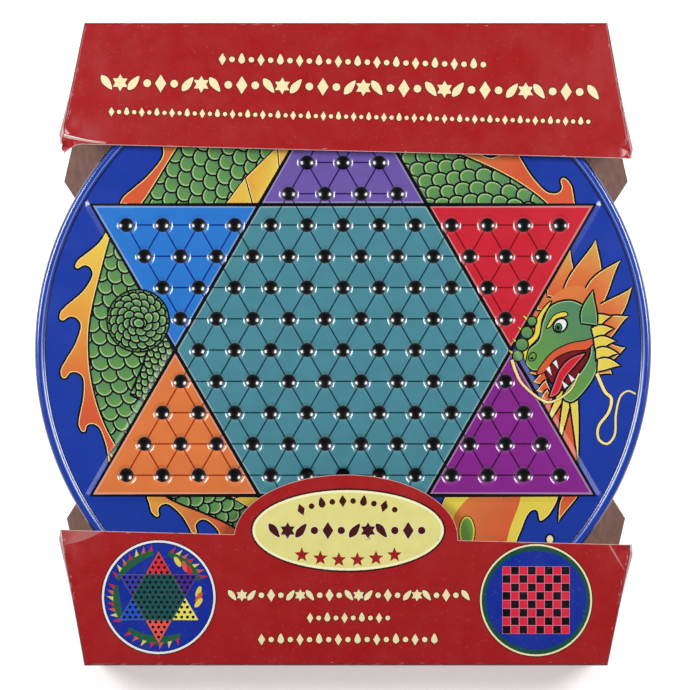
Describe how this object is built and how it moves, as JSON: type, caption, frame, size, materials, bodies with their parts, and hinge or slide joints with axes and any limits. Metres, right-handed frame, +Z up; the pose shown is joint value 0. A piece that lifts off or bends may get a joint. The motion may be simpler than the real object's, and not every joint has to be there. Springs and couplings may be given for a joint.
{
  "type": "chinese checkers board",
  "caption": "Round pressed-tin chinese checkers board that opens as a storage case for its balls and checkers, held by a folding card wrap with a cap at each end.",
  "frame": {"origin": "on the tin's axis, at the underside of the wrap's back panel, which is the face that the set rests on", "axes": "+Z up out of the star side of the board, +Y to the top of the board as the star stands on a point, +X to the right along the rows of holes"},
  "size_m": [0.318, 0.328, 0.0381],
  "materials": {
    "lid_print": "lithographed tinplate, gloss varnish, bare tin inside",
    "base_print": "lithographed tinplate, gloss varnish, bare tin inside",
    "card_printed": "red coated card outside, brown board inside",
    "card_back": "uncoated brown board",
    "ball_violet": "glossy moulded ball",
    "ball_blue": "glossy moulded ball",
    "ball_red": "glossy moulded ball",
    "ball_orange": "glossy moulded ball",
    "ball_magenta": "glossy moulded ball",
    "ball_yellow": "glossy moulded ball",
    "checker_red": "moulded, semi-gloss",
    "checker_black": "moulded, semi-gloss",
    "net": "soft knitted net",
    "tie": "twisted string",
    "paper": "uncoated folded paper"
  },
  "bodies": {
    "base": {"tin_base": "base_print", "card_back_panel": "card_back", "balls_violet": "ball_violet", "balls_blue": "ball_blue", "balls_red": "ball_red", "balls_orange": "ball_orange", "balls_magenta": "ball_magenta", "balls_yellow": "ball_yellow", "checkers_red": "checker_red", "checkers_black": "checker_black", "ball_bag": "net", "ball_bag_tie": "tie", "checker_bag": "net", "checker_bag_tie": "tie", "instruction_sheet": "paper"},
    "lid": {"tin_lid": "lid_print"},
    "top_cap": {"top_cap_front": "card_printed", "top_cap_spine": "card_printed", "top_cap_left_gusset": "card_printed", "top_cap_right_gusset": "card_printed"},
    "bottom_cap": {"bottom_cap_front": "card_printed", "bottom_cap_spine": "card_printed", "bottom_cap_left_gusset": "card_printed", "bottom_cap_right_gusset": "card_printed"}
  },
  "joints": [
    {"name": "lid_lift", "type": "slide", "parent": "base", "child": "lid", "axis": [0, 0, 1], "range_m": [0, 0.033]},
    {"name": "top_cap_fold", "type": "hinge", "parent": "base", "child": "top_cap", "pos_m": [0, 0.167, 0], "axis": [-1, 0, 0], "range_deg": [0, 90]},
    {"name": "bottom_cap_fold", "type": "hinge", "parent": "base", "child": "bottom_cap", "pos_m": [0, -0.161, 0], "axis": [1, 0, 0], "range_deg": [0, 90]}
  ],
  "couplings": [
    {"joint": "top_cap_fold", "follows": "lid_lift", "rad_per_m": 47.5},
    {"joint": "bottom_cap_fold", "follows": "lid_lift", "rad_per_m": 47.5}
  ]
}
